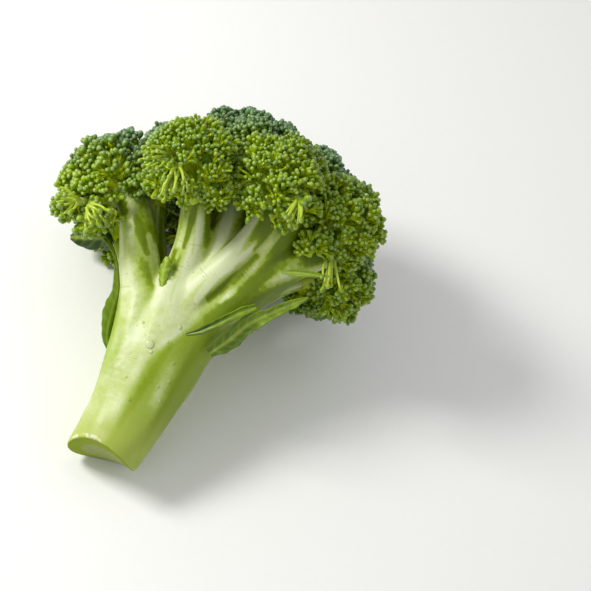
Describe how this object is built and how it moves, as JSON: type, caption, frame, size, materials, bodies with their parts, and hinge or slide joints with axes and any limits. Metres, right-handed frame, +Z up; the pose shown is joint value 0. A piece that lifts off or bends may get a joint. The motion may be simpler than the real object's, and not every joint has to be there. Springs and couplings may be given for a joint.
{
  "type": "broccoli head",
  "caption": "Head of broccoli lying on its side: a thick cut stalk that forks into branches, each carrying a rounded floret of small green buds, with a few small leaves.",
  "frame": {"origin": "middle of the bounding box's underside, on the surface that the head lies on", "axes": "+Z up from the surface; +Y level, under the stalk, from its cut end towards the crown; +X to the right of the crown when it is seen from the cut end"},
  "size_m": [0.152, 0.1662, 0.1187],
  "materials": {
    "stalk": "moist waxy pale green vegetable skin, satin",
    "buds": "waxy green flower buds, satin",
    "leaf": "smooth fresh leaf, satin"
  },
  "bodies": {
    "root": {"stalk_with_branches": "stalk", "floret_left": "buds", "floret_top_left": "buds", "floret_front_left": "buds", "floret_front_right": "buds", "floret_crown": "buds", "floret_top_right": "buds", "floret_right": "buds", "floret_right_low": "buds", "floret_back_far_right": "buds", "floret_back_right": "buds", "floret_back_mid": "buds", "floret_back_left": "buds", "leaf_left": "leaf", "leaf_right": "leaf", "bract_right": "leaf", "bract_fork": "leaf"}
  },
  "joints": []
}
